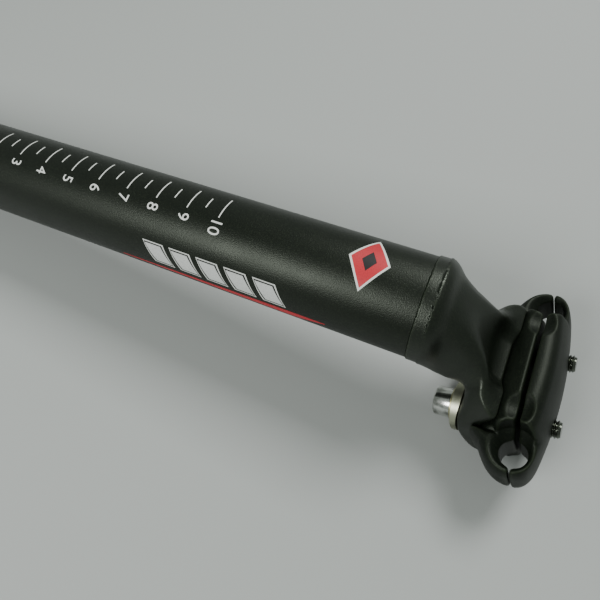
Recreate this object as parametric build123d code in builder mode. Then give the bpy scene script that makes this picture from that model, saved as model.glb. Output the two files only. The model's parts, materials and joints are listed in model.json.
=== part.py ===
from build123d import *
from math import cos, radians, sin
import os

# Set-back bicycle seatpost with a two-bolt saddle clamp.
# Frame: origin at the centre of the tube's lower end, +Z up the tube to the saddle,
# +X towards the front of the bicycle, +Y to the rider's left.  Millimetres and degrees.

# ---- tube ----------------------------------------------------------------------------
tube_diameter = 27.2
tube_wall = 2.2
tube_length = 257.0
tube_bore_chamfer = 0.6

# ---- head: spigot, collar, leaning neck and saddle block ------------------------------
bond_gap = 0.05              # glue line between the spigot and the tube
spigot_length = 42.0
spigot_bore = 15.0
spigot_floor = 2.0           # solid metal left between the spigot's bore and the collar
spigot_chamfer = 1.0
collar_proud = 0.35
collar_height = 3.0
saddle_wall = 6.3            # round wall that the bolts squeeze
saddle_half_width = 17.5
saddle_front = 13.2          # the round wall reaches this far either side of the bolts
saddle_back = 11.5

# ---- clamp position and attitude ------------------------------------------------------
clamp_lean = 18.0            # bolts lean forward of the tube axis by this much
setback = 22.7               # bolt plane behind the tube axis, measured at rail height
rail_height = 34.0           # rail centres above the tube's upper end
pivot_above_rails = 8.0      # axis of the round saddle above the rail centres
pivot_radius = 18.4          # radius of the round saddle in the head
saddle_clearance = 0.1       # cradle to saddle, and saddle washer to head
tilt_range = 10.0            # clamp tilt each way

# ---- rails and clamp halves -----------------------------------------------------------
rail_diameter = 7.0
rail_spacing = 44.0
rail_lip = 2.4               # metal outboard of each rail
rail_shoulder = 0.5          # the crown and the wings turn down this far outboard of a rail
parting_gap = 1.4            # between the halves, inboard of the rails
lip_gap = 0.3                # between the halves, outboard of the rails
clamp_shift = 2.2            # the halves reach further forward than back
clamp_mid_half_length = 12.5
clamp_end_half_length = 7.0
clamp_waist = 16.0           # half width of the full-length middle of the clamp
waist_round = 4.0
end_round = 4.0
mouth_radius = 5.8
mouth_land = 4.0             # half length of the plain part of a rail groove
crown_height = 7.3           # top of the cap's crown above the rail centres
crown_end_height = 5.3
cap_tip_height = 2.6
cap_edge_height = 4.2        # front and back edges of the cap above the rail centres
cheek_gap = 0.3              # between the cradle's cheeks and the ends of the saddle block
cheek_depth = 15.0           # cheeks reach this far below the rail centres
cheek_wall = 3.1             # cheeks reach this far past the round saddle
wing_knee_depth = 10.0
wing_tip_depth = 4.6
wing_tip_inset = 1.0         # slant at a wing's outer end, sideways and upwards
wing_tip_rise = 2.0

# ---- bolts and washers ----------------------------------------------------------------
bolt_diameter = 5.0
bolt_length = 28.0
bolt_spacing = 20.0
bolt_head_diameter = 8.5
bolt_head_height = 5.0
head_chamfer = 0.5
hex_key = 4.0
hex_depth = 2.6
bolt_hole_clearance = 0.3
thread_fit = 0.02
flat_washer_diameter = 10.0
flat_washer_thickness = 0.9
saddle_washer_diameter = 14.0
saddle_washer_thickness = 1.6
washer_bore_clearance = 0.15
slot_clearance = 0.4         # room past the bolt at each end of its swing
washer_side_room = 0.6       # room around a saddle washer, sideways
washer_swing_room = 0.5      # room past a saddle washer at each end of its swing
washer_room_rise = 3.0       # that room starts this far above the washers' seat
washer_room_depth = 24.0

# ---- derived values -------------------------------------------------------------------
tube_radius = tube_diameter / 2
tube_bore_radius = tube_radius - tube_wall
collar_radius = tube_radius + collar_proud
rail_radius = rail_diameter / 2
rail_y = rail_spacing / 2
bolt_y = bolt_spacing / 2
bolt_radius = bolt_diameter / 2
clamp_half_span = rail_y + rail_radius + rail_lip
shoulder_y = rail_y + rail_shoulder
mouth_depth = clamp_end_half_length - mouth_land
cradle_radius = pivot_radius - saddle_clearance
cheek_radius = pivot_radius + cheek_wall
cheek_inside = saddle_half_width + cheek_gap
underside_radius = pivot_radius + saddle_wall
washer_seat_radius = underside_radius + saddle_clearance
seat_below = washer_seat_radius - pivot_above_rails
washer_face = -(seat_below + saddle_washer_thickness)
head_face = washer_face - flat_washer_thickness
washer_room_top = -(seat_below - washer_room_rise)
swing = underside_radius * sin(radians(tilt_range))
slot_width = 2 * (bolt_radius + bolt_hole_clearance)
slot_length = 2 * (swing + slot_clearance) + slot_width
washer_room_width = saddle_washer_diameter + 2 * washer_side_room
washer_room_length = 2 * (swing + washer_swing_room) + saddle_washer_diameter

# The neck's level sections move back and widen as they rise:
# (height above the tube, front x, back x, half width, corner radius)
neck_sections = (
    (collar_height, tube_radius, -tube_radius, tube_radius, tube_radius - bond_gap),
    (10.0, 8.6, -14.5, 11.6, 8.5),
    (17.0, 1.2, -21.5, 12.0, 6.5),
    (22.5, 13.7 - setback, -6.3 - setback, 15.0, 5.5),
    (27.0, 10.9 - setback, -7.3 - setback, 16.0, 5.0),
)

# ---- planes ---------------------------------------------------------------------------
# plan looks along the bolts, side looks from the left, front looks along the rails
lean = radians(clamp_lean)
forward = Vector(cos(lean), 0, -sin(lean))
upward = Vector(sin(lean), 0, cos(lean))
clamp_origin = Vector(-setback, 0, tube_length + rail_height)
clamp_middle = clamp_origin + forward * clamp_shift
plan = Plane(origin=clamp_origin, x_dir=forward, z_dir=upward)
side = Plane(origin=clamp_origin, x_dir=forward, z_dir=(0, -1, 0))
front = Plane(origin=clamp_origin, x_dir=(0, 1, 0), z_dir=forward)

os.makedirs("parts", exist_ok=True)


def save(solid, name):
    """Labels one piece and writes its file."""
    solid.label = name
    export_step(solid, "parts/" + name + ".step")


def round_bar(radius):
    """Bar along the pivot axis, for the round faces that swing on one another."""
    with BuildPart() as bar:
        with BuildSketch(side):
            with Locations((0, pivot_above_rails)):
                Circle(radius)
        extrude(amount=2 * clamp_half_span, both=True)
    return bar.part


def clamp_outline():
    """Prism of the clamp's outline seen along the bolts: a long waist between shorter ends."""
    with BuildPart() as outline:
        with BuildSketch(Plane(origin=clamp_middle, x_dir=forward, z_dir=upward)):
            RectangleRounded(2 * clamp_mid_half_length, 2 * clamp_waist, waist_round)
            RectangleRounded(2 * clamp_end_half_length, 2 * clamp_half_span, end_round)
        extrude(amount=underside_radius, both=True)
    return outline.part


def parting_gaps():
    """Slab between the clamp halves, thicker inboard of the rails' outer sides."""
    with BuildPart() as gaps:
        with BuildSketch(plan):
            Rectangle(4 * clamp_mid_half_length, 4 * clamp_half_span)
        extrude(amount=lip_gap / 2, both=True)
        with BuildSketch(plan):
            Rectangle(4 * clamp_mid_half_length, 2 * (rail_y + rail_radius))
        extrude(amount=parting_gap / 2, both=True)
    return gaps.part


def rail_grooves():
    """Both rails as cutters, each flared at its two mouths."""
    with BuildPart() as grooves:
        with BuildSketch(front):
            with Locations((rail_y, 0), (-rail_y, 0)):
                Circle(rail_radius)
        extrude(amount=2 * clamp_mid_half_length, both=True)
        for end in (1, -1):
            for hand in (1, -1):
                mouth_origin = clamp_middle + forward * end * mouth_land + Vector(0, hand * rail_y, 0)
                with Locations(Plane(origin=mouth_origin, z_dir=forward * end)):
                    Cone(
                        rail_radius,
                        mouth_radius,
                        mouth_depth,
                        align=(Align.CENTER, Align.CENTER, Align.MIN),
                    )
    return grooves.part


# ---- post tube ------------------------------------------------------------------------
with BuildPart() as post_tube:
    with BuildSketch():
        Circle(tube_radius)
        Circle(tube_bore_radius, mode=Mode.SUBTRACT)
    extrude(amount=tube_length)
    lower_end = post_tube.faces().sort_by(Axis.Z)[0]
    chamfer(lower_end.edges().sort_by(SortBy.RADIUS)[0], tube_bore_chamfer)
save(post_tube.part, "post_tube")

# ---- head -----------------------------------------------------------------------------
with BuildPart() as head:
    # collar that meets the tube's end
    with BuildSketch(Plane.XY.offset(tube_length)):
        Circle(collar_radius)
    extrude(amount=collar_height)
    # leaning neck
    for height, x_front, x_back, half_width, corner in neck_sections:
        with BuildSketch(Plane.XY.offset(tube_length + height)):
            with Locations(((x_front + x_back) / 2, 0)):
                RectangleRounded(x_front - x_back, 2 * half_width, corner)
    loft()
    # room for the washers and bolt heads to swing behind the neck
    with BuildSketch(plan.offset(washer_room_top)):
        with Locations((0, bolt_y), (0, -bolt_y)):
            SlotOverall(washer_room_length, washer_room_width)
    extrude(amount=-washer_room_depth, mode=Mode.SUBTRACT)
    # round wall between the cradle and the washers
    with BuildSketch(side):
        with Locations((0, pivot_above_rails)):
            Circle(underside_radius)
        with Locations(((saddle_front - saddle_back) / 2, -underside_radius)):
            Rectangle(saddle_front + saddle_back, 2 * underside_radius, mode=Mode.INTERSECT)
    extrude(amount=saddle_half_width, both=True)
    add(round_bar(pivot_radius), mode=Mode.SUBTRACT)
    # slots that let the bolts swing with the clamp
    with BuildSketch(plan):
        with Locations((0, bolt_y), (0, -bolt_y)):
            SlotOverall(slot_length, slot_width)
    extrude(amount=-underside_radius, mode=Mode.SUBTRACT)
    # spigot bonded inside the tube
    with BuildSketch(Plane.XY.offset(tube_length - spigot_length)):
        Circle(tube_bore_radius - bond_gap)
    extrude(amount=spigot_length)
    chamfer(head.faces().sort_by(Axis.Z)[0].edges(), spigot_chamfer)
    with BuildSketch(Plane.XY.offset(tube_length - spigot_length)):
        Circle(spigot_bore / 2)
    extrude(amount=spigot_length - spigot_floor, mode=Mode.SUBTRACT)
save(head.part, "head")

# ---- lower cradle ---------------------------------------------------------------------
with BuildPart() as lower_cradle:
    # middle, between the cheeks, with the round underside that swings in the saddle
    with BuildSketch(side):
        with Locations((0, pivot_above_rails)):
            Circle(cradle_radius)
        with Locations((clamp_shift, -underside_radius)):
            Rectangle(2 * clamp_mid_half_length, 2 * underside_radius, mode=Mode.INTERSECT)
    extrude(amount=cheek_inside, both=True)
    # cheeks that hug the saddle block and taper out into the wings
    for hand in (1, -1):
        with BuildSketch(front):
            with BuildLine():
                Polyline(
                    (hand * cheek_inside, 0),
                    (hand * cheek_inside, -cheek_depth),
                    (hand * shoulder_y, -wing_knee_depth),
                    (hand * (clamp_half_span - wing_tip_inset), -wing_tip_depth),
                    (hand * clamp_half_span, wing_tip_rise - wing_tip_depth),
                    (hand * clamp_half_span, 0),
                    close=True,
                )
            make_face()
        extrude(amount=2 * clamp_mid_half_length, both=True)
    add(round_bar(cheek_radius), mode=Mode.INTERSECT)
    add(clamp_outline(), mode=Mode.INTERSECT)
    add(parting_gaps(), mode=Mode.SUBTRACT)
    add(rail_grooves(), mode=Mode.SUBTRACT)
    # bolt holes
    with BuildSketch(plan):
        with Locations((0, bolt_y), (0, -bolt_y)):
            Circle(bolt_radius + bolt_hole_clearance)
    extrude(amount=-underside_radius, mode=Mode.SUBTRACT)
save(lower_cradle.part, "lower_cradle")

# ---- top clamp ------------------------------------------------------------------------
cap_front = clamp_shift + clamp_mid_half_length
cap_back = clamp_shift - clamp_mid_half_length
with BuildPart() as top_clamp:
    # crown seen along the rails
    with BuildSketch(front):
        with BuildLine():
            Line((-clamp_half_span, 0), (clamp_half_span, 0))
            Line((clamp_half_span, 0), (clamp_half_span, cap_tip_height))
            Line((clamp_half_span, cap_tip_height), (shoulder_y, crown_end_height))
            ThreePointArc((shoulder_y, crown_end_height), (0, crown_height), (-shoulder_y, crown_end_height))
            Line((-shoulder_y, crown_end_height), (-clamp_half_span, cap_tip_height))
            Line((-clamp_half_span, cap_tip_height), (-clamp_half_span, 0))
        make_face()
    extrude(amount=2 * clamp_mid_half_length, both=True)
    # crown falls towards the front and back edges
    with BuildSketch(side):
        with BuildLine():
            Line((cap_back, 0), (cap_front, 0))
            Line((cap_front, 0), (cap_front, cap_edge_height))
            ThreePointArc(
                (cap_front, cap_edge_height),
                (clamp_shift, crown_height),
                (cap_back, cap_edge_height),
            )
            Line((cap_back, cap_edge_height), (cap_back, 0))
        make_face()
    extrude(amount=2 * clamp_half_span, both=True, mode=Mode.INTERSECT)
    add(clamp_outline(), mode=Mode.INTERSECT)
    add(parting_gaps(), mode=Mode.SUBTRACT)
    add(rail_grooves(), mode=Mode.SUBTRACT)
    # tapped holes
    with BuildSketch(plan):
        with Locations((0, bolt_y), (0, -bolt_y)):
            Circle(bolt_radius + thread_fit)
    extrude(amount=2 * crown_height, mode=Mode.SUBTRACT)
save(top_clamp.part, "top_clamp")

# ---- bolts and washers ----------------------------------------------------------------
for hand, name in ((1, "left"), (-1, "right")):
    station = plan.shift_origin(clamp_origin + Vector(0, hand * bolt_y, 0))
    with BuildPart() as clamp_bolt:
        with BuildSketch(station.offset(head_face)):
            Circle(bolt_head_diameter / 2)
        extrude(amount=-bolt_head_height)
        chamfer(clamp_bolt.edges().filter_by(GeomType.CIRCLE), head_chamfer)
        with BuildSketch(station.offset(head_face)):
            Circle(bolt_radius)
        extrude(amount=bolt_length)
        with BuildSketch(station.offset(head_face - bolt_head_height)):
            RegularPolygon(hex_key / 2, 6, major_radius=False)
        extrude(amount=hex_depth, mode=Mode.SUBTRACT)
    save(clamp_bolt.part, "clamp_bolt_" + name)
    with BuildPart() as flat_washer:
        with BuildSketch(station.offset(head_face)):
            Circle(flat_washer_diameter / 2)
            Circle(bolt_radius + washer_bore_clearance, mode=Mode.SUBTRACT)
        extrude(amount=flat_washer_thickness)
    save(flat_washer.part, "flat_washer_" + name)
    with BuildPart() as saddle_washer:
        with BuildSketch(station.offset(washer_face)):
            Circle(saddle_washer_diameter / 2)
            Circle(bolt_radius + washer_bore_clearance, mode=Mode.SUBTRACT)
        extrude(amount=2 * saddle_washer_thickness)
        add(round_bar(washer_seat_radius), mode=Mode.SUBTRACT)
    save(saddle_washer.part, "saddle_washer_" + name)
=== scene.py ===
# %% [markdown]
# # A set-back seatpost, finished for the camera
#
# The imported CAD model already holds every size, fit and joint of this bicycle seatpost. This lesson
# dresses it: soft forged surfaces for the head and the two clamp halves, a turned tube with printed
# marks, real threads on the bolts, and a coat, a plating or an ink on every piece. Nothing is moved
# or resized. Lengths inside the shape functions are millimetres, and turn into metres at the end.

# %% Load the frame
import json
import math

import bmesh
import bpy
import numpy as np
from mathutils import Matrix, Vector


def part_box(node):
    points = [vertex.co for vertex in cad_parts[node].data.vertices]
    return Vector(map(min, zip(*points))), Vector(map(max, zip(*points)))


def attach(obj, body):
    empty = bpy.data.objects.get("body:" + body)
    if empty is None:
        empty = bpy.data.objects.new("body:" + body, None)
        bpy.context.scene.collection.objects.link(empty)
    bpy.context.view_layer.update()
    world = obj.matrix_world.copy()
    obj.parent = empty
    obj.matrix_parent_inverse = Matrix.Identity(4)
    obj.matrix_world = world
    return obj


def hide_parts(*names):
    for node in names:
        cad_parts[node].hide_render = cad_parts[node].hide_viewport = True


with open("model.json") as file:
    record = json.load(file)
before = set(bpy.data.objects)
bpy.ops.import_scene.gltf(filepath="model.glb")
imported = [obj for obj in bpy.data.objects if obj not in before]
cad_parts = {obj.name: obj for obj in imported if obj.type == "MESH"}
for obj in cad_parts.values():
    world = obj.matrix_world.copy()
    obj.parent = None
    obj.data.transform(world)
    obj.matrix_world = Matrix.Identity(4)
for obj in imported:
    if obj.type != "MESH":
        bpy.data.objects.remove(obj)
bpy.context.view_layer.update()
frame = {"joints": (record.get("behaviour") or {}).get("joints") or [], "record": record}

MM = 0.001

# %% [markdown]
# ## Where things are
#
# The clamp has its own slanted frame: u runs forward along the saddle rails, y to the rider's left,
# w up along the bolts. The joints and the rail mounts of the record give its directions and its
# origin, which lies midway between the two rails, so nothing here is typed in twice.

# %% Read the driving sizes from the frame
joints = {joint["name"]: joint for joint in frame["joints"]}
mounts = {mount["name"]: mount for mount in frame["record"]["mounts"]}

tube_radius, _, tube_length = np.array(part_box("post_tube")[1]) / MM

forward = np.array(mounts["rail_left"]["axis"])
upward = np.array(joints["cap_lift"]["axis"])
across = np.array([0.0, 1.0, 0.0])
pivot = np.array(joints["clamp_tilt"]["pos_m"]) / MM
rail_middle = np.array(mounts["rail_left"]["pos_m"]) / MM
rail_y = rail_middle[1]
rail_radius = mounts["rail_left"]["dims"]["r_mm"]
pivot_height = float((pivot - rail_middle) @ upward)
clamp_origin = pivot - pivot_height * upward
clamp_shift = float((rail_middle - clamp_origin) @ forward)
bolt_y = np.array(joints["bolt_left_turn"]["pos_m"])[1] / MM
half_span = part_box("top_clamp")[1][1] / MM
print("tube", round(tube_radius, 2), "x", round(tube_length, 1), "rails", rail_y, "pivot", pivot_height)


# %% Helpers that change frames
def to_metres(u, y, w):
    """Clamp frame in mm to the row frame in metres: origin + u forward + y across + w upward."""
    point = clamp_origin + u[..., None] * forward + y[..., None] * across + w[..., None] * upward
    return point * MM


def above_tube(u, w):
    """(x, z) of a clamp-frame place: x in front of the tube's axis, z above the tube's upper end."""
    x = clamp_origin[0] + u * forward[0] + w * upward[0]
    z = clamp_origin[2] - tube_length + u * forward[2] + w * upward[2]
    return x, z


# %% [markdown]
# ## Skins from fields
#
# The head and the clamp halves are forgings: fat shapes that melt into each other with soft inside
# corners. Modelling those with a cage is slow, so they are described by a field instead, a number
# that is negative in metal and positive in air. Smooth minimum joins two fields with a fillet, and
# smooth maximum cuts one with another and rounds the edge. A net is then drawn over the zero level,
# one corner in each cell that the surface crosses, and every corner slides down the field's slope
# until it lies on the surface. The slope is also the exact normal, so the metal shades softly.


# %% Smooth minimum and maximum
def join(a, b, fillet):
    """Smooth minimum: the blend of a and b by h, less fillet h (1 - h), where they nearly agree."""
    h = np.clip(0.5 + 0.5 * (b - a) / fillet, 0, 1)
    return b + (a - b) * h - fillet * h * (1 - h)


def cut(a, b, rounding):
    """Smooth maximum: keeps what is inside both a and b, with its edge rounded."""
    return -join(-a, -b, rounding)


def ramp(t, start, end):
    """0 before start, 1 after end and 3s^2 - 2s^3 between them."""
    s = np.clip((t - start) / (end - start), 0, 1)
    return s * s * (3 - 2 * s)


def slot_field(u, y, half_length, half_width):
    """Distance outside a slot with round ends that lies along u: a segment grown by its half width."""
    return np.hypot(np.maximum(np.abs(u) - (half_length - half_width), 0), y) - half_width


# %% Draw a net over a field's zero level
SLIDES = 3
LONGEST_SLIDE = 0.4
STEEP_ENOUGH = 0.05
BEND_REACH = 0.3
CELL_CORNERS = np.array([(i, j, k) for i in (0, 1) for j in (0, 1) for k in (0, 1)])
CELL_EDGES = [
    (a, b)
    for a in range(8)
    for b in range(a + 1, 8)
    if np.abs(CELL_CORNERS[a] - CELL_CORNERS[b]).sum() == 1
]


def slope(field, p, reach=0.05):
    """Central difference of the field along u, y and w."""
    steps = np.eye(3) * reach
    return np.stack([(field(p + s) - field(p - s)) / (2 * reach) for s in steps], -1)


def net_points(value, low, step):
    """One point in each crossed cell, at the mean of where the field changes sign on its edges."""
    negative = value < 0
    shape = [n - 1 for n in value.shape]
    corners = [negative[i : i + shape[0], j : j + shape[1], k : k + shape[2]] for i, j, k in CELL_CORNERS]
    some = np.logical_or.reduce(corners)
    every = np.logical_and.reduce(corners)
    cell = np.argwhere(some & ~every)
    total = np.zeros((len(cell), 3))
    count = np.zeros(len(cell))
    for a, b in CELL_EDGES:
        va = value[tuple((cell + CELL_CORNERS[a]).T)]
        vb = value[tuple((cell + CELL_CORNERS[b]).T)]
        crossed = (va < 0) != (vb < 0)
        t = va / np.where(crossed, va - vb, 1)
        place = CELL_CORNERS[a] + t[:, None] * (CELL_CORNERS[b] - CELL_CORNERS[a])
        total += place * crossed[:, None]
        count += crossed
    number = np.full(shape, -1)
    number[tuple(cell.T)] = np.arange(len(cell))
    return low + (cell + total / count[:, None]) * step, number


def net_faces(value, number):
    """A quad round each grid edge that the surface crosses, joining the four cells that share it."""
    quads = []
    for axis in range(3):
        one, two = [n for n in range(3) if n != axis]
        ahead = np.take(value, range(1, value.shape[axis]), axis) < 0
        behind = np.take(value, range(value.shape[axis] - 1), axis) < 0
        edge = np.argwhere(ahead != behind)
        edge = edge[(edge[:, one] > 0) & (edge[:, two] > 0)]
        edge = edge[(edge[:, one] < value.shape[one] - 1) & (edge[:, two] < value.shape[two] - 1)]
        ring = []
        for back_one, back_two in ((1, 1), (0, 1), (0, 0), (1, 0)):
            cell = edge.copy()
            cell[:, one] -= back_one
            cell[:, two] -= back_two
            ring.append(number[tuple(cell.T)])
        quad = np.stack(ring, 1)
        flip = behind[tuple(edge.T)] == (axis == 1)
        quad[flip] = quad[flip, ::-1]
        quads.append(quad)
    return np.concatenate(quads)


def unit(v):
    """v at length 1."""
    return v / np.linalg.norm(v, axis=-1, keepdims=True)


def sharpness(field, p):
    """0 on flat metal to 1 on sharp edges, from the spread of the normals: their divergence at p."""
    steps = BEND_REACH * np.eye(3)
    bend = sum((unit(slope(field, p + s)) - unit(slope(field, p - s))) @ s for s in steps)
    bend = bend / (2 * BEND_REACH**2)
    return np.clip(bend * 0.35 - 0.12, 0, 1)


def field_mesh(name, field, low, high, step):
    """Closed mesh of field = 0 inside a box of the clamp frame, with an attribute for sharp edges.

    Each corner slides by -field x slope / slope squared, a few times, which is Newton's step.
    """
    low = np.array(low, float)
    axes = [np.arange(a, b + step, step) for a, b in zip(low, high)]
    value = field(np.stack(np.meshgrid(*axes, indexing="ij"), -1))
    p, number = net_points(value, low, step)
    for _ in range(SLIDES):
        g = slope(field, p)
        move = field(p)[:, None] * g / np.maximum((g * g).sum(-1, keepdims=True), STEEP_ENOUGH)
        p = p - np.clip(move, -LONGEST_SLIDE * step, LONGEST_SLIDE * step)
    normal = unit(slope(field, p))
    mesh = bpy.data.meshes.new(name)
    mesh.from_pydata(to_metres(*p.T), [], net_faces(value, number).tolist())
    row = normal @ np.array([forward, across, upward])
    mesh.normals_split_custom_set_from_vertices(row.tolist())
    edge = mesh.attributes.new("edge", "FLOAT", "POINT")
    edge.data.foreach_set("value", sharpness(field, p).astype(np.float32))
    print(name, len(mesh.vertices), "points", len(mesh.polygons), "faces")
    return mesh


def place(mesh, body, node, slot, material):
    """A mesh as a piece that rides on a body and, where a node is named, stands for that CAD node."""
    piece = bpy.data.objects.new(mesh.name, mesh)
    bpy.context.scene.collection.objects.link(piece)
    mesh.materials.append(material)
    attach(piece, body)
    if node:
        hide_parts(node)
    return piece


# %% [markdown]
# ## Finishes
#
# The tube, the head and the clamp wear the same kind of coat, a near-black satin with a fine grain
# that sparkles a little where light strikes it. One group makes the grain, the cloudy change of
# gloss and the slightly brighter metal along sharp edges. Each material gives it its own values.


# %% Node helpers
def new_material(name):
    """A material with its nodes, its Principled shader and a helper's view of both."""
    material = bpy.data.materials.new(name)
    material.use_nodes = True
    return material, material.node_tree.nodes, material.node_tree.links


def socket(tree, name, kind, way, value=None):
    """One named socket on a node group's own interface."""
    made = tree.interface.new_socket(name=name, in_out=way, socket_type=kind)
    if value is not None:
        made.default_value = value
    return made


def group_node(nodes, tree, **values):
    """A group placed in a material, with its inputs set by name."""
    node = nodes.new("ShaderNodeGroup")
    node.node_tree = tree
    for name, value in values.items():
        node.inputs[name.replace("_", " ")].default_value = value
    return node


# %% The grain group that every coat shares
def make_coat_group():
    """Colour, roughness and normal of a satin coat: fine noise for grain, wide noise for gloss."""
    tree = bpy.data.node_groups.new("satin_coat", "ShaderNodeTree")
    socket(tree, "Vector", "NodeSocketVector", "INPUT")
    socket(tree, "Edge", "NodeSocketFloat", "INPUT", 0.0)
    socket(tree, "Dark", "NodeSocketColor", "INPUT", (0.0022, 0.0034, 0.0022, 1))
    socket(tree, "Light", "NodeSocketColor", "INPUT", (0.014, 0.019, 0.011, 1))
    socket(tree, "Gloss", "NodeSocketFloat", "INPUT", 0.42)
    socket(tree, "Grain size", "NodeSocketFloat", "INPUT", 3400.0)
    socket(tree, "Grain depth", "NodeSocketFloat", "INPUT", 0.25)
    socket(tree, "Color", "NodeSocketColor", "OUTPUT")
    socket(tree, "Roughness", "NodeSocketFloat", "OUTPUT")
    socket(tree, "Normal", "NodeSocketVector", "OUTPUT")
    nodes, links = tree.nodes, tree.links
    given = nodes.new("NodeGroupInput")
    out = nodes.new("NodeGroupOutput")
    grain = nodes.new("ShaderNodeTexNoise")
    grain.inputs["Detail"].default_value = 3
    cloud = nodes.new("ShaderNodeTexNoise")
    cloud.inputs["Scale"].default_value = 90
    cloud.inputs["Detail"].default_value = 4
    links.new(given.outputs["Vector"], grain.inputs["Vector"])
    links.new(given.outputs["Vector"], cloud.inputs["Vector"])
    links.new(given.outputs["Grain size"], grain.inputs["Scale"])
    # specks: the grain's brightest tops show a lighter colour, and so do worn edges
    speck = nodes.new("ShaderNodeMapRange")
    speck.inputs["From Min"].default_value = 0.52
    speck.inputs["From Max"].default_value = 0.72
    links.new(grain.outputs["Fac"], speck.inputs["Value"])
    bright = nodes.new("ShaderNodeMath")
    bright.operation = "ADD"
    bright.use_clamp = True
    links.new(speck.outputs["Result"], bright.inputs[0])
    links.new(given.outputs["Edge"], bright.inputs[1])
    colour = nodes.new("ShaderNodeMix")
    colour.data_type = "RGBA"
    links.new(bright.outputs["Value"], colour.inputs["Factor"])
    links.new(given.outputs["Dark"], colour.inputs["A"])
    links.new(given.outputs["Light"], colour.inputs["B"])
    links.new(colour.outputs["Result"], out.inputs["Color"])
    # roughness drifts by up to 0.16 over about a centimetre
    drift = nodes.new("ShaderNodeMath")
    drift.operation = "MULTIPLY_ADD"
    drift.inputs[1].default_value = 0.16
    links.new(cloud.outputs["Fac"], drift.inputs[0])
    links.new(given.outputs["Gloss"], drift.inputs[2])
    links.new(drift.outputs["Value"], out.inputs["Roughness"])
    bump = nodes.new("ShaderNodeBump")
    bump.inputs["Distance"].default_value = 0.00009
    links.new(given.outputs["Grain depth"], bump.inputs["Strength"])
    links.new(grain.outputs["Fac"], bump.inputs["Height"])
    links.new(bump.outputs["Normal"], out.inputs["Normal"])
    return tree


coat_group = make_coat_group()


def coat_material(name, shine, **values):
    """Satin coat on a metal piece: the group's colour, roughness and normal, with a given shine."""
    material, nodes, links = new_material(name)
    shader = nodes["Principled BSDF"]
    where = nodes.new("ShaderNodeTexCoord")
    edge = nodes.new("ShaderNodeAttribute")
    edge.attribute_name = "edge"
    coat = group_node(nodes, coat_group, **values)
    links.new(where.outputs["Object"], coat.inputs["Vector"])
    links.new(edge.outputs["Fac"], coat.inputs["Edge"])
    links.new(coat.outputs["Color"], shader.inputs["Base Color"])
    links.new(coat.outputs["Roughness"], shader.inputs["Roughness"])
    links.new(coat.outputs["Normal"], shader.inputs["Normal"])
    shader.inputs["Specular IOR Level"].default_value = shine
    shader.inputs["Specular Tint"].default_value = (0.90, 1.0, 0.84, 1)
    return material


tube_coat = coat_material("tube_satin_black", 0.36, Gloss=0.30, Grain_depth=0.75)
head_coat = coat_material("head_satin_black", 0.48, Gloss=0.27, Grain_depth=0.8)
clamp_coat = coat_material("clamp_satin_black", 0.20, Gloss=0.38, Grain_depth=0.7)
print("coats", tube_coat.name, head_coat.name, clamp_coat.name)

# %% [markdown]
# ## The head
#
# A forged head carries the saddle behind the tube. Its neck leaves a round collar, leans back and
# ends in a thick round wall that holds the cradle. Two ribs run up the neck's front, with a shallow
# valley between them, and the sides fall away in soft hollows towards the seats of the washers.

# %% Sizes of the head
head_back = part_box("head")[0][0] / MM
collar_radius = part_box("head")[1][0] / MM
collar_height = 1.5
shoulder_height = 5.5
neck_height = 27.0
saddle_radius = 18.4
underside_radius = 24.7
block_half_width = 17.5
block_back = math.radians(-38.7)
rib_front = math.radians(47.2)
valley_front = math.radians(40.8)
neck_half_width = 11.2
slot_half_length = 7.5
slot_half_width = 2.8
washer_room = (11.8, 7.6)
washer_room_top = -13.8
soft = 3.0


# %% Fields of the head
def neck_field(x, y, z):
    """Leaning neck: front, flanks, sides and back, each cutting the others softly.

    Each face is a plane, written as its normal's share of the way from a point on it. The ribs are
    where the front meets the flanks, and a shallow trough between them is taken off the front.
    """
    a = np.abs(y)
    rib_y = 5.0 + 0.1 * z + 2.4 * ramp(z, 14, 23)
    valley = 2.3 * ramp(z, 5, 18) * np.clip(1 - (a / rib_y) ** 2, 0, 1)
    low_front = 0.887 * (x - 13.9) + 0.461 * (z - 3.6)
    mid_front = 0.70 * (x - 7.0) + 0.714 * (z - 12.4)
    high_front = 0.378 * (x - 1.0) + 0.926 * (z - 18.2)
    front = cut(cut(low_front, mid_front, soft), high_front, soft) + valley
    flank = 0.453 * (x - 4.0) + 0.805 * (a - 6.2) + 0.385 * (z - 15.0) - 3.2 * (1 - ramp(z, 1, 12))
    side = (a - neck_half_width - 2.6 * (1 - ramp(z, 1, 10))) * 0.95
    back = cut(-13.9 - x, 0.60 * (-15.0 - x) + 0.80 * (z - 12.0) - 2.0, soft)
    body = cut(front, flank, 0.5 + 2.4 * (1 - ramp(z, 3, 10)))
    body = cut(body, side, 5.0)
    body = cut(body, back, 4.0)
    leaning = x + 0.9 * np.maximum(z - 3.5, 0)
    body = cut(body, np.hypot(leaning, y) - tube_radius - 0.05, 2.0)
    return cut(body, z - neck_height, soft)


def block_field(u, y, w):
    """Round wall that the bolts squeeze: between two cylinders about the pivot, over an angle."""
    a = np.abs(y)
    r = np.hypot(u, w - pivot_height)
    angle = np.arctan2(u, pivot_height - w)
    front_end = valley_front + (rib_front - valley_front) * ramp(a, 5, 10)
    wall = cut(r - underside_radius, saddle_radius - 1.0 - r, 1.0)
    ends = cut((angle - front_end) * r, (block_back - angle) * r, 1.0)
    bevel = 0.64 * (u - 5.0) - 0.77 * (w + 14.4) - 1.3 * np.maximum(block_half_width - a, 0)
    wall = cut(wall, bevel, 2.0)
    wall = cut(wall, ends, 1.2)
    return cut(wall, a - block_half_width, 2.0)


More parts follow.
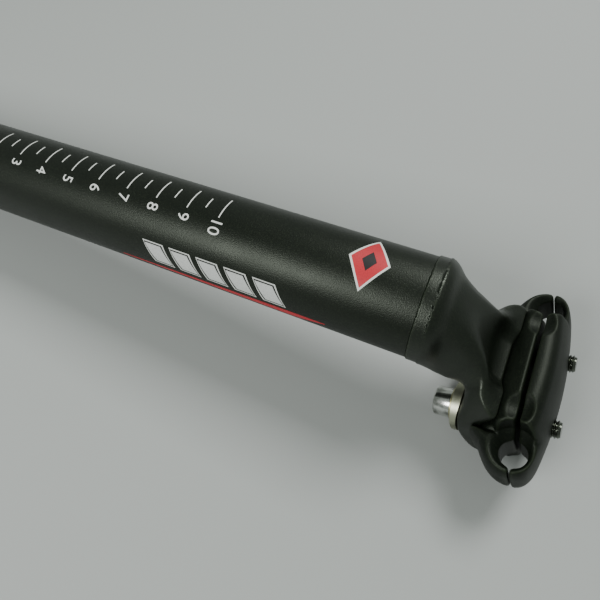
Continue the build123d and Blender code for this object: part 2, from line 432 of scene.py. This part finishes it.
def head_field(p):
    """Collar, neck and block joined by fillets, less the round saddle, the washers' room and the slots."""
    u, y, w = p[..., 0], p[..., 1], p[..., 2]
    x, z = above_tube(u, w)
    a = np.abs(y)
    r = np.hypot(u, w - pivot_height)
    from_axis = np.hypot(x, y)
    collar = cut(from_axis - collar_radius, z - collar_height, 0.5)
    shoulder = cut(from_axis - tube_radius, z - shoulder_height, 4.0)
    body = join(neck_field(x, y, z), block_field(u, y, w), 6.0)
    body = join(join(body, shoulder, 2.5), collar, 0.4)
    body = np.maximum(body, from_axis - collar_radius - 4 * np.maximum(z - 2 * collar_height, 0))
    body = cut(body, head_back - x, 2.0)
    body = cut(body, saddle_radius - r, 0.7)
    room = np.maximum(slot_field(u, a - bolt_y, *washer_room), w - washer_room_top)
    room = np.maximum(room, underside_radius - r)
    body = cut(body, -room, 0.8)
    body = cut(body, -slot_field(u, a - bolt_y, slot_half_length, slot_half_width), 0.4)
    return cut(body, -z, 0.25)


head_mesh = field_mesh("forged_head", head_field, (-18, -18.6, -31), (47, 18.6, -1), 0.42)
place(head_mesh, "post", "head", "head_anodised", head_coat)

# %% [markdown]
# ## The clamp halves
#
# The cradle rocks in the head on a round underside and grips the rails from below. Its wings hug the
# ends of the round wall. The cap closes over the rails from above, and its crown is tapped for both
# bolts. Both share one outline, seen along the bolts, and the same flared rail grooves.

# %% Sizes and fields that both halves share
cradle_radius = 18.3
wing_start = 17.8
waist_half_length = 12.5
tip_half_length = 7.0
groove_land = 4.0
mouth_slope = 0.77
parting = 0.5
lip_parting = 0.15
boss_y = 12.9
boss_radius = 6.3
dish_radius = 4.1
dish_depth = 1.9
crown_height = 7.3
bolt_hole_radius = 2.8
tapped_radius = 2.55
countersink_from = 6.3
clamp_cell = 0.36


def outline_field(u, a, w):
    """Clamp outline seen along the bolts: a long waist that ends in a round boss, and shorter wings."""
    boss_edge = boss_y + np.sqrt(np.maximum(boss_radius**2 - w * w, 0.5))
    short = ramp(a - boss_edge, -1.2, 1.8)
    half_length = waist_half_length - (waist_half_length - tip_half_length) * short
    half_length = half_length - 0.02 * np.maximum(a - rail_y, 0) ** 2
    return cut((np.abs(u - clamp_shift) - half_length) * 0.8, a - half_span, 3.5)


def rail_field(u, a, w):
    """Air of one rail groove: a cylinder that flares into a cone beyond the groove's plain middle."""
    beyond = np.clip(np.abs(u - clamp_shift) - groove_land, 0, tip_half_length - groove_land)
    return (np.hypot(a - rail_y, w) - rail_radius - mouth_slope * beyond) * 0.85


def dish_field(u, a, w):
    """Air of a shallow ball pressed into the boss: ball radius from the dish's own radius and depth."""
    ball = (dish_radius**2 + dish_depth**2) / (2 * dish_depth)
    centre = clamp_shift + waist_half_length - dish_depth + ball
    return np.sqrt((u - centre) ** 2 + (a - boss_y) ** 2 + w**2) - ball


def parting_field(a, w):
    """Height above the parting gap: wide inboard of the rails, nearly closed at the lips."""
    groove_edge = rail_y + rail_radius
    return w - parting + (parting - lip_parting) * ramp(a, groove_edge - 0.6, groove_edge + 0.6)


# %% The lower cradle
def cradle_field(p):
    """Round underside between the cheeks, wings outside them, less the grooves, dishes and holes."""
    u, y, w = p[..., 0], p[..., 1], p[..., 2]
    a = np.abs(y)
    r = np.hypot(u, w - pivot_height)
    middle = cut(r - cradle_radius, a - wing_start - 1.0, 0.6)
    slant = 0.737 * (a - 20.1) - 0.676 * (w + 12.4)
    belly = r - (21.5 - 1.0 * np.clip(a - wing_start, 0, 3.2) - 0.3 * np.clip(a - 21.0, 0, 7))
    wing = cut(cut(slant, belly, 3.5), wing_start - a, 0.8)
    body = join(middle, wing, 0.8)
    body = cut(body, outline_field(u, a, w), 2.2)
    body = cut(body, -parting_field(a, -w), 0.9)
    body = cut(body, -rail_field(u, a, w), 0.9)
    body = cut(body, -dish_field(u, a, w), 0.5)
    return cut(body, bolt_hole_radius - np.hypot(u, a - bolt_y), 0.4)


cradle_mesh = field_mesh("forged_cradle", cradle_field, (-12, -28.9, -17), (17, 28.9, 1), clamp_cell)
place(cradle_mesh, "clamp", "lower_cradle", "clamp_anodised", clamp_coat)


# %% The cap
def cap_field(p):
    """Crown that falls towards its ends and its edges with the square of the way, less the grooves."""
    u, y, w = p[..., 0], p[..., 1], p[..., 2]
    a = np.abs(y)
    fall = a * a / 252 + (u - clamp_shift) ** 2 / 52
    crown = (w - crown_height + fall) * 0.93
    tip = 0.66 * (a - 26.2) + 0.75 * (w - 4.6)
    body = cut(crown, tip, 3.0)
    body = cut(body, outline_field(u, a, w), 2.4)
    body = cut(body, -parting_field(a, w), 0.9)
    body = cut(body, -rail_field(u, a, w), 0.9)
    body = cut(body, -dish_field(u, a, w), 0.5)
    hole = tapped_radius + np.maximum(w - countersink_from, 0)
    return cut(body, (hole - np.hypot(u, a - bolt_y)) * 0.9, 0.3)


cap_mesh = field_mesh("forged_cap", cap_field, (-12, -28.9, -1), (17, 28.9, 8.6), clamp_cell)
place(cap_mesh, "cap", "top_clamp", "clamp_anodised", clamp_coat)

# %% [markdown]
# ## Turned and ground parts
#
# A lathe makes the tube, the spigot, the washers and the bolts, so each is a profile of radius and
# height carried round an axis. The profile is one function parameter and the turn is the other. A
# profile that starts and ends on the axis closes at two poles, and one that returns to its start
# closes like a ring. Small chamfers in the profile catch the light as real edges do.


# %% Carry a profile round an axis
def turned_mesh(name, radius, height, to_place, ring=False):
    """Closed mesh of a (turn, profile) grid: radius and height may change with the turn as well.

    radius and height are arrays (turns, profile points). to_place maps x, y, height in mm to metres.
    """
    turns, stops = radius.shape
    angle = np.linspace(0, 2 * np.pi, turns, endpoint=False)[:, None]
    points = to_place(radius * np.cos(angle), radius * np.sin(angle), height + 0 * radius)
    here = np.arange(turns * stops).reshape(turns, stops)
    there = np.roll(here, -1, 0)
    if ring:
        quads = np.stack([here, there, np.roll(there, -1, 1), np.roll(here, -1, 1)], -1).reshape(-1, 4)
    else:
        quads = np.stack([here[:, :-1], there[:, :-1], there[:, 1:], here[:, 1:]], -1).reshape(-1, 4)
    mesh = bpy.data.meshes.new(name)
    mesh.from_pydata(points.reshape(-1, 3), [], quads.tolist())
    tidy = bmesh.new()
    tidy.from_mesh(mesh)
    bmesh.ops.remove_doubles(tidy, verts=tidy.verts, dist=1e-7)
    bmesh.ops.recalc_face_normals(tidy, faces=tidy.faces)
    tidy.to_mesh(mesh)
    tidy.free()
    mesh.shade_smooth()
    mesh.set_sharp_from_angle(angle=math.radians(32))
    print(name, len(mesh.vertices), "points", len(mesh.polygons), "faces")
    return mesh


def in_row(x, y, z):
    """A place about the tube's axis, in metres."""
    return np.stack([x, y, z], -1) * MM


def about_bolt(hand):
    """Places about one bolt's axis: x forward, y across, height up along the bolt."""
    return lambda x, y, w: to_metres(x, y + hand * bolt_y, w)


def profile(*stops):
    """Radius and height arrays from (radius, height) stops in order."""
    return np.array(stops, float).T


# %% The tube and the head's spigot
tube_bore = tube_radius - 2.2
edge_break = 0.25
bore_break = 0.6
radius, height = profile(
    (tube_radius - edge_break, 0),
    (tube_radius - edge_break * 0.3, edge_break * 0.3),
    (tube_radius, edge_break),
    (tube_radius, tube_length * 0.5),
    (tube_radius, tube_length - 0.12),
    (tube_radius - 0.12, tube_length),
    (tube_bore, tube_length),
    (tube_bore, bore_break),
    (tube_bore + bore_break, 0),
)
ones = np.ones((192, 1))
tube_mesh = turned_mesh("tube_shell", radius * ones, height * ones, in_row, ring=True)
place(tube_mesh, "post", "post_tube", "tube_anodised", tube_coat)

spigot_radius = tube_bore - 0.05
spigot_bore = 7.5
spigot_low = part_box("head")[0][2] / MM
radius, height = profile(
    (0, tube_length),
    (spigot_radius, tube_length),
    (spigot_radius, spigot_low + 1.0),
    (spigot_radius - 1.0, spigot_low),
    (spigot_bore + 0.3, spigot_low),
    (spigot_bore, spigot_low + 0.3),
    (spigot_bore, tube_length - 2.4),
    (spigot_bore - 0.4, tube_length - 2.0),
    (0, tube_length - 2.0),
)
spigot_mesh = turned_mesh("head_spigot", radius * ones[:96], height * ones[:96], in_row)
place(spigot_mesh, "post", None, "head_anodised", head_coat)

# %% [markdown]
# ## Bolts and washers
#
# The bolts are bright plated socket screws whose tips stand through the cap, so the thread shows. On
# the thread's stretch the radius rises and falls once per pitch, and it is read at height minus
# pitch times turn, which winds it into a helix. In the socket the round rings become six-sided: the
# distance from the axis to a hexagon's side at an angle is half the key size over its cosine.

# %% Metals
# height of the rails' middle along the bolts, in metres: all of a bolt above it is thread, drawn wholly in
# the darker stain colour
thread_shows_from = float(np.dot(clamp_origin, upward)) * MM


def metal_material(name, colour, roughness, stain, scratch, darker_from=1.0):
    """Plated metal: a stain changes colour and gloss in clouds, and its colour covers all of the metal
    above a given height along the bolts' axis.
    """
    material, nodes, links = new_material(name)
    shader = nodes["Principled BSDF"]
    where = nodes.new("ShaderNodeTexCoord")
    look = dict(Colour=colour, Stain=stain, Gloss=roughness, Scratch=scratch)
    wear = group_node(nodes, plating_group, **look)
    links.new(where.outputs["Object"], wear.inputs["Vector"])
    along = nodes.new("ShaderNodeVectorMath")
    along.operation = "DOT_PRODUCT"
    along.inputs[1].default_value = tuple(upward)
    past_height = nodes.new("ShaderNodeMath")
    past_height.operation = "GREATER_THAN"
    past_height.inputs[1].default_value = darker_from
    links.new(where.outputs["Object"], along.inputs[0])
    links.new(along.outputs["Value"], past_height.inputs[0])
    links.new(past_height.outputs["Value"], wear.inputs["Darker above"])
    links.new(wear.outputs["Color"], shader.inputs["Base Color"])
    links.new(wear.outputs["Roughness"], shader.inputs["Roughness"])
    links.new(wear.outputs["Normal"], shader.inputs["Normal"])
    shader.inputs["Metallic"].default_value = 1.0
    return material


def make_plating_group():
    """Colour, roughness and normal of plated steel: cloudy stain over it, fine noise as scratches."""
    tree = bpy.data.node_groups.new("plating", "ShaderNodeTree")
    socket(tree, "Vector", "NodeSocketVector", "INPUT")
    socket(tree, "Colour", "NodeSocketColor", "INPUT", (0.8, 0.8, 0.8, 1))
    socket(tree, "Stain", "NodeSocketColor", "INPUT", (0.4, 0.4, 0.35, 1))
    socket(tree, "Gloss", "NodeSocketFloat", "INPUT", 0.2)
    socket(tree, "Scratch", "NodeSocketFloat", "INPUT", 0.1)
    # last input: 1 where the stain colour covers everything, which makes the bolts' thread above the rails
    # a plain darker tone
    socket(tree, "Darker above", "NodeSocketFloat", "INPUT", 0.0)
    socket(tree, "Color", "NodeSocketColor", "OUTPUT")
    socket(tree, "Roughness", "NodeSocketFloat", "OUTPUT")
    socket(tree, "Normal", "NodeSocketVector", "OUTPUT")
    nodes, links = tree.nodes, tree.links
    given = nodes.new("NodeGroupInput")
    out = nodes.new("NodeGroupOutput")
    cloud = nodes.new("ShaderNodeTexNoise")
    cloud.inputs["Scale"].default_value = 420
    cloud.inputs["Detail"].default_value = 5
    scratch = nodes.new("ShaderNodeTexNoise")
    scratch.inputs["Scale"].default_value = 3500
    colour = nodes.new("ShaderNodeMix")
    colour.data_type = "RGBA"
    stain = nodes.new("ShaderNodeMapRange")
    stain.inputs["From Min"].default_value = 0.45
    stain.inputs["From Max"].default_value = 0.75
    covered = nodes.new("ShaderNodeMath")
    covered.operation = "ADD"
    covered.use_clamp = True
    drift = nodes.new("ShaderNodeMath")
    drift.operation = "MULTIPLY_ADD"
    drift.inputs[1].default_value = 0.18
    bump = nodes.new("ShaderNodeBump")
    bump.inputs["Distance"].default_value = 0.00003
    links.new(given.outputs["Vector"], cloud.inputs["Vector"])
    links.new(given.outputs["Vector"], scratch.inputs["Vector"])
    links.new(cloud.outputs["Fac"], stain.inputs["Value"])
    links.new(stain.outputs["Result"], covered.inputs[0])
    links.new(given.outputs["Darker above"], covered.inputs[1])
    links.new(covered.outputs["Value"], colour.inputs["Factor"])
    links.new(given.outputs["Colour"], colour.inputs["A"])
    links.new(given.outputs["Stain"], colour.inputs["B"])
    links.new(colour.outputs["Result"], out.inputs["Color"])
    links.new(cloud.outputs["Fac"], drift.inputs[0])
    links.new(given.outputs["Gloss"], drift.inputs[2])
    links.new(drift.outputs["Value"], out.inputs["Roughness"])
    links.new(given.outputs["Scratch"], bump.inputs["Strength"])
    links.new(scratch.outputs["Fac"], bump.inputs["Height"])
    links.new(bump.outputs["Normal"], out.inputs["Normal"])
    return tree


plating_group = make_plating_group()
bright = (0.66, 0.67, 0.64, 1)
# the bolts' stain colour, used in clouds and on all of the thread above the rails, where it makes a plain
# darker tone
stain_and_thread_colour = (0.10, 0.11, 0.09, 1)
bolt_plate = metal_material("bright_plate", bright, 0.10, stain_and_thread_colour, 0.3, thread_shows_from)
gold_plate = metal_material("yellow_plate", (0.42, 0.40, 0.22, 1), 0.26, (0.24, 0.23, 0.13, 1), 0.3)
plain_plate = metal_material("plain_plate", (0.40, 0.41, 0.31, 1), 0.34, (0.22, 0.23, 0.17, 1), 0.3)
print("metals", bolt_plate.name, gold_plate.name, plain_plate.name)

# %% Bolts
seat_radius = underside_radius + 0.1
saddle_washer_height = 1.6
flat_washer_height = 0.9
head_face = -(seat_radius - pivot_height) - saddle_washer_height - flat_washer_height
bolt_radius = 2.5
bolt_head_radius = 4.25
bolt_head_height = 5.0
bolt_length = 28.0
bolt_tip = head_face + bolt_length
tip_flat = 1.2
thread_pitch = 0.8
thread_depth = 0.42
thread_length = 16.0
hex_half = 2.0
hex_floor = 2.6


def bolt_grid(turns=96):
    """(radius, height) grids of one bolt from its tip's pole to the socket floor's pole.

    Thread: radius falls by the depth times a clipped triangle wave of height / pitch - turn.
    Socket: radius is hex_half / cos(angle folded into a sixth of a turn), limited to the rim.
    """
    angle = np.linspace(0, 2 * np.pi, turns, endpoint=False)[:, None]
    low = bolt_tip - thread_length
    along = np.linspace(bolt_tip, low, int(thread_length / thread_pitch * 12))[None, :]
    phase = (along / thread_pitch - angle / (2 * np.pi)) % 1.0
    groove = np.clip(1.35 * (1 - np.abs(2 * phase - 1)) - 0.1, 0, 1)
    tip_taper = 0.55 * (1 - ramp(bolt_tip - along, 0, 0.9))
    run_out = ramp(along - low, 0, 1.2)
    thread = bolt_radius - np.maximum(thread_depth * groove * run_out, tip_taper + 0 * angle)
    fold = (angle + np.pi / 6) % (np.pi / 3) - np.pi / 6
    hexagon = hex_half / np.cos(fold)
    top = head_face - bolt_head_height
    wave = 0 * angle
    stops = [
        (wave, bolt_tip),
        (wave + tip_flat, bolt_tip),
        (thread, along),
        (wave + bolt_radius, low - 0.05),
        (wave + bolt_radius, head_face + 0.3),
        (wave + bolt_radius + 0.2, head_face),
        (wave + bolt_head_radius - 0.2, head_face),
        (wave + bolt_head_radius, head_face - 0.2),
        (wave + bolt_head_radius, top + 0.55),
        (wave + bolt_head_radius - 0.12, top + 0.25),
        (wave + bolt_head_radius - 0.45, top),
        (wave + hex_half + 0.75, top),
        (np.maximum(hexagon, hex_half + 0.32), top + 0.18),
        (hexagon, top + 0.5),
        (hexagon, top + hex_floor - 0.05),
        (hexagon * 0.97, top + hex_floor),
        (wave, top + hex_floor + 0.4),
    ]
    radius = np.concatenate([r for r, _ in stops], 1)
    height = np.concatenate([h + 0 * r for r, h in stops], 1)
    return radius, height


for hand, name in ((1, "left"), (-1, "right")):
    mesh = turned_mesh("bolt_" + name, *bolt_grid(), about_bolt(hand))
    place(mesh, "bolt_" + name, "clamp_bolt_" + name, "bolt_plate", bolt_plate)


# %% Washers
def washer_grid(outer, bore, low, high, turns=96):
    """Ring section with broken edges; high may be a function of place, for the hollow face."""
    angle = np.linspace(0, 2 * np.pi, turns, endpoint=False)[:, None]
    soft = 0.12
    across_face = np.linspace(outer - soft, bore + soft, 10)[None, :]
    top = high(across_face * np.cos(angle))
    rim = high(outer * np.cos(angle)) - soft
    inner = high(bore * np.cos(angle)) - soft
    wave = 0 * angle
    stops = [
        (wave + outer, rim),
        (across_face + wave, top),
        (wave + bore, inner),
        (wave + bore, low + soft + wave),
        (wave + bore + soft, low + wave),
        (wave + outer - soft, low + wave),
        (wave + outer, low + soft + wave),
    ]
    return np.concatenate([r for r, _ in stops], 1), np.concatenate([h for _, h in stops], 1)


washer_bore = bolt_radius + 0.15
flat_washer_radius = 5.0
saddle_washer_radius = 7.0


def hollow_face(u):
    """Height of the washer seat's cylinder about the pivot at u."""
    return pivot_height - np.sqrt(seat_radius**2 - u**2)


def flat_face(u):
    """Plain upper face of the flat washer."""
    return head_face + flat_washer_height + 0 * u


for hand, name in ((1, "left"), (-1, "right")):
    grid = washer_grid(flat_washer_radius, washer_bore, head_face, flat_face)
    mesh = turned_mesh("flat_ring_" + name, *grid, about_bolt(hand), ring=True)
    place(mesh, "clamp", "flat_washer_" + name, "flat_washer_plate", gold_plate)
    under = head_face + flat_washer_height
    grid = washer_grid(saddle_washer_radius, washer_bore, under, hollow_face)
    mesh = turned_mesh("saddle_ring_" + name, *grid, about_bolt(hand), ring=True)
    place(mesh, "clamp", "saddle_washer_" + name, "saddle_washer_metal", plain_plate)

# %% [markdown]
# ## Printed marks
#
# The tube carries a printed scale of how far it goes into the frame, with a long mark each
# centimetre, a short one each half, and numbers. The rest of the print is a plain decoration of our
# own: five leaning silver bars, a red underline and a red lozenge. Each mark is a very thin plate,
# made flat and bent round the tube: its width becomes arc length, so angle is width over radius. A
# print of several inks is a stack of plates, each a little higher than the one under it.

# %% Inks
def ink_material(name, colour):
    """Printed ink: even colour, thinned by fine noise so that the dark coat's grain shows through."""
    material, nodes, links = new_material(name)
    shader = nodes["Principled BSDF"]
    where = nodes.new("ShaderNodeTexCoord")
    worn = tuple(0.72 * c for c in colour[:3]) + (1,)
    ink = group_node(nodes, coat_group, Dark=colour, Light=worn, Gloss=0.4, Grain_depth=0.2)
    links.new(where.outputs["Object"], ink.inputs["Vector"])
    links.new(ink.outputs["Color"], shader.inputs["Base Color"])
    links.new(ink.outputs["Roughness"], shader.inputs["Roughness"])
    links.new(ink.outputs["Normal"], shader.inputs["Normal"])
    return material


white_ink = ink_material("white_ink", (0.70, 0.72, 0.68, 1))
silver_ink = ink_material("silver_ink", (0.62, 0.64, 0.62, 1))
red_ink = ink_material("red_ink", (0.50, 0.02, 0.03, 1))
black_ink = ink_material("black_ink", (0.006, 0.006, 0.006, 1))
ink_root = -0.03
ink_low = 0.03
ink_step = 0.012
print("inks", white_ink.name, silver_ink.name, red_ink.name, black_ink.name)


# %% Bend flat plates round the tube
def wrap(points, lift):
    """Arc length and height in mm to the tube's surface, lifted: angle is arc length over radius."""
    around, z = points[..., 0] / tube_radius, points[..., 1]
    r = tube_radius + lift
    return in_row(r * np.cos(around), r * np.sin(around), z)


def plate_mesh(name, sheets, layer=0):
    """One mesh of closed thin plates, each from a grid (rows, columns, 2) of arc length and height."""
    points, faces, start = [], [], 0
    for sheet in sheets:
        rows, columns = sheet.shape[:2]
        top = wrap(sheet, ink_low + ink_step * (layer + 1))
        bottom = wrap(sheet, ink_root)
        size = rows * columns
        here = start + np.arange(size).reshape(rows, columns)
        quad = np.stack([here[:-1, :-1], here[1:, :-1], here[1:, 1:], here[:-1, 1:]], -1).reshape(-1, 4)
        rim = np.concatenate([here[0, :], here[1:, -1], here[-1, -2::-1], here[-2:0:-1, 0]])
        wall = np.stack([rim, np.roll(rim, -1), np.roll(rim, -1) + size, rim + size], -1)
        faces += [quad, quad[:, ::-1] + size, wall]
        points += [top.reshape(-1, 3), bottom.reshape(-1, 3)]
        start += 2 * size
    mesh = bpy.data.meshes.new(name)
    mesh.from_pydata(np.concatenate(points), [], np.concatenate(faces).tolist())
    tidy = bmesh.new()
    tidy.from_mesh(mesh)
    bmesh.ops.remove_doubles(tidy, verts=tidy.verts, dist=1e-8)
    bmesh.ops.recalc_face_normals(tidy, faces=tidy.faces)
    tidy.to_mesh(mesh)
    tidy.free()
    print(name, len(sheets), "plates", len(mesh.polygons), "faces")
    return mesh


def strip(first, last, width_first, width_last):
    """Grid between two (s, z) ends whose width, across in s, goes from one value to the other."""
    t = np.linspace(0, 1, 24)[:, None]
    v = np.linspace(-0.5, 0.5, 9)[None, :]
    width = width_first + (width_last - width_first) * t
    s = first[0] + (last[0] - first[0]) * t + width * v
    z = first[1] + (last[1] - first[1]) * t + 0 * v
    return np.stack([s, z], -1)


# %% Scale marks and numbers
scale_ten = 200.3
long_mark = (-0.4137 * tube_radius, 0.1292 * tube_radius)
short_mark = (-0.2758 * tube_radius, -0.0035 * tube_radius)
mark_width = 0.34
figure_arc = 0.33 * tube_radius
figure_height = 4.9
slice_width = 0.6


def scale_mark(height, ends):
    """One printed line round part of the tube at a height."""
    s = np.linspace(ends[0], ends[1], 14)[:, None]
    z = height + mark_width * np.array([[-0.5, 0.5]])
    return np.stack([s + 0 * z, z + 0 * s], -1)


marks = [scale_mark(scale_ten - 10 * n, long_mark) for n in range(11)]
marks += [scale_mark(scale_ten - 10 * n - 5, short_mark) for n in range(10)]
place(plate_mesh("scale_marks", marks), "post", None, "tube_anodised", white_ink)


def number_mesh(number):
    """A printed number: flat text made a mesh, sliced finely enough to bend, then wrapped round."""
    text = bpy.data.curves.new("figure", "FONT")
    text.body = str(number)
    text.size = figure_height
    text.extrude = 0.02
    text.resolution_u = 4
    text.align_x = "CENTER"
    text.align_y = "CENTER"
    holder = bpy.data.objects.new("figure", text)
    bpy.context.scene.collection.objects.link(holder)
    bpy.context.view_layer.update()
    mesh = bpy.data.meshes.new_from_object(holder)
    bpy.data.objects.remove(holder)
    fine = bmesh.new()
    fine.from_mesh(mesh)
    bmesh.ops.remove_doubles(fine, verts=fine.verts, dist=1e-5)
    bmesh.ops.triangulate(fine, faces=fine.faces)
    for cut_at in slice_width * np.arange(-4, 5):
        everything = fine.verts[:] + fine.edges[:] + fine.faces[:]
        bmesh.ops.bisect_plane(fine, geom=everything, plane_co=(cut_at, 0, 0), plane_no=(1, 0, 0))
        everything = fine.verts[:] + fine.edges[:] + fine.faces[:]
        bmesh.ops.bisect_plane(fine, geom=everything, plane_co=(0, cut_at, 0), plane_no=(0, 1, 0))
    fine.to_mesh(mesh)
    fine.free()
    flat = np.zeros(len(mesh.vertices) * 3)
    mesh.vertices.foreach_get("co", flat)
    flat = flat.reshape(-1, 3)
    middle = (figure_arc, scale_ten - 10 * (10 - number))
    lift = np.where(flat[:, 2] > 0, ink_low + ink_step, ink_root)
    mesh.vertices.foreach_set("co", wrap(flat[:, :2] + middle, lift).astype(np.float32).ravel())
    mesh.update()
    mesh.name = "scale_number_%d" % number
    return mesh


for number in range(11):
    place(number_mesh(number), "post", None, "tube_anodised", white_ink)

# %% Decoration: a row of leaning bars, an underline with a pointed end, and a lozenge
def leaning_bar(grow):
    """One bar grown on every side: arc and height, with the far side leaning along the tube."""
    t = np.linspace(-0.5, 0.5, 6)[:, None]
    v = np.linspace(-0.5, 0.5, 12)[None, :]
    arc = bar_arc + (bar_width + 2 * grow) * v
    height = (bar_length + 2 * grow) * t + bar_lean * v
    return np.stack([arc + 0 * height, height], -1)


def lozenge(half_arc, half_height):
    """Four-cornered patch with a corner at each end of both half axes."""
    t = np.linspace(-1, 1, 17)[:, None]
    v = np.linspace(-1, 1, 17)[None, :]
    arc = lozenge_arc + half_arc * (t + v) / 2
    height = lozenge_height + half_height * (t - v) / 2
    return np.stack([arc, height], -1)


bar_arc = 1.29 * tube_radius
bar_width = 0.40 * tube_radius
bar_length = 5.2
bar_lean = 3.2
bar_places = 184.5 + 8.7 * np.arange(5)
for layer, grow, ink, name in (
    (0, 0.75, white_ink, "bars_rim"),
    (1, 0.40, black_ink, "bars_line"),
    (2, 0.0, silver_ink, "bars_fill"),
):
    bars = [leaning_bar(grow) + (0, z) for z in bar_places]
    place(plate_mesh(name, bars, layer), "post", None, "tube_anodised", ink)

line_arc = 1.74 * tube_radius
line_start = (line_arc, 170.0)
line_widest = (line_arc, 226.0)
line_tip = (1.66 * tube_radius, 235.3)
lines = [strip(line_start, line_widest, 0.4, 2.6), strip(line_widest, line_tip, 2.6, 0.3)]
place(plate_mesh("red_line", lines), "post", None, "tube_anodised", red_ink)

lozenge_arc = 0.035 * tube_radius
lozenge_height = 242.2
for layer, half_arc, half_height, ink, name in (
    (0, 8.2, 5.4, white_ink, "lozenge_rim"),
    (1, 7.3, 4.75, red_ink, "lozenge_fill"),
    (2, 2.9, 1.9, black_ink, "lozenge_heart"),
):
    sheet = lozenge(half_arc, half_height)
    place(plate_mesh(name, [sheet], layer), "post", None, "tube_anodised", ink)

# %% [markdown]
# ## Stage, light and camera
#
# The post lies on its back on a pale table, resting on the tube's lower end and on the back of the
# clamp. The table shows from above only, so that it never hides the post in the other views. One
# softbox beyond the head throws the soft shadow. A smaller one, level with the tube's lower end, gives
# the quiet highlight along the tube, and a pale room fills the rest.


# %% The table and the light
table_reach = 1.6
table_gap = 0.001


def make_table():
    """Large square that touches the tube's lower end and nearly touches the back of the clamp."""
    back_of_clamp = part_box("lower_cradle")[0]
    contact = Vector((-tube_radius * MM, 0, 0))
    rest = Vector((back_of_clamp[0] - table_gap, 0, back_of_clamp[2]))
    along = (rest - contact).normalized()
    normal = Vector((along.z, 0, -along.x))
    if normal.x < 0:
        normal = -normal
    side = normal.cross(along)
    turn = Matrix((side, along, normal)).transposed() * table_reach
    under = contact - normal * table_gap / 2
    corners = [under + turn @ Vector((i, j, 0)) for i, j in ((-1, -1), (1, -1), (1, 1), (-1, 1))]
    mesh = bpy.data.meshes.new("table_top")
    mesh.from_pydata(corners, [], [(0, 1, 2, 3)])
    if mesh.polygons[0].normal.x < 0:
        mesh.flip_normals()
    table = bpy.data.objects.new("table_top", mesh)
    bpy.context.scene.collection.objects.link(table)
    return table


def table_material():
    """Dull pale paint in front, clear from behind: the side seen chooses between the two shaders."""
    material, nodes, links = new_material("pale_table")
    shader = nodes["Principled BSDF"]
    shader.inputs["Base Color"].default_value = (0.365, 0.385, 0.37, 1)
    shader.inputs["Roughness"].default_value = 0.85
    clear = nodes.new("ShaderNodeBsdfTransparent")
    choose = nodes.new("ShaderNodeMixShader")
    behind = nodes.new("ShaderNodeNewGeometry")
    links.new(behind.outputs["Backfacing"], choose.inputs["Fac"])
    links.new(shader.outputs["BSDF"], choose.inputs[1])
    links.new(clear.outputs["BSDF"], choose.inputs[2])
    links.new(choose.outputs["Shader"], nodes["Material Output"].inputs["Surface"])
    return material


table = make_table()
table.data.materials.append(table_material())
print(table.name, "reaches", table_reach, "m each way")


# %% Camera
camera_place = Vector((0.11818, 0.07067, 0.26662))
view_right = Vector((-0.08920, -0.42113, 0.90260))
view_down = Vector((-0.51691, 0.79420, 0.31947))
look = view_right.cross(view_down).normalized()
camera = bpy.data.objects.new("camera", bpy.data.cameras.new("camera"))
camera.data.lens = 31.41
camera.data.sensor_width = 36
camera.data.clip_start = 0.005
axes = Matrix((view_right.normalized(), -view_down.normalized(), -look)).transposed().to_4x4()
camera.matrix_world = Matrix.Translation(camera_place) @ axes
bpy.context.scene.collection.objects.link(camera)
bpy.context.scene.camera = camera
print("camera at", tuple(camera_place), "lens", round(camera.data.lens, 2))


# %% Lights
aim = Vector((-0.01, 0, 0.25))


def softbox(name, direction, distance, size, power):
    """Square area light that looks at the tube's upper end from a direction in the row frame."""
    lamp = bpy.data.objects.new(name, bpy.data.lights.new(name, "AREA"))
    lamp.data.size = size
    lamp.data.energy = power
    lamp.location = aim + direction.normalized() * distance
    lamp.rotation_euler = (aim - lamp.location).to_track_quat("-Z", "Y").to_euler()
    bpy.context.scene.collection.objects.link(lamp)
    print(name, "at", tuple(round(c, 3) for c in lamp.location))


window = -0.6 * look - 0.9 * view_down + 0.45 * view_right
room = -0.74 * look + 0.06 * view_down - 0.66 * view_right
softbox("window_light", window, 0.8, 0.30, 5.6)
softbox("room_light", room, 0.7, 0.26, 3.4)
world = bpy.data.worlds.new("pale_room")
world.use_nodes = True
world.node_tree.nodes["Background"].inputs["Color"].default_value = (0.88, 0.96, 0.90, 1)
world.node_tree.nodes["Background"].inputs["Strength"].default_value = 0.34
bpy.context.scene.world = world
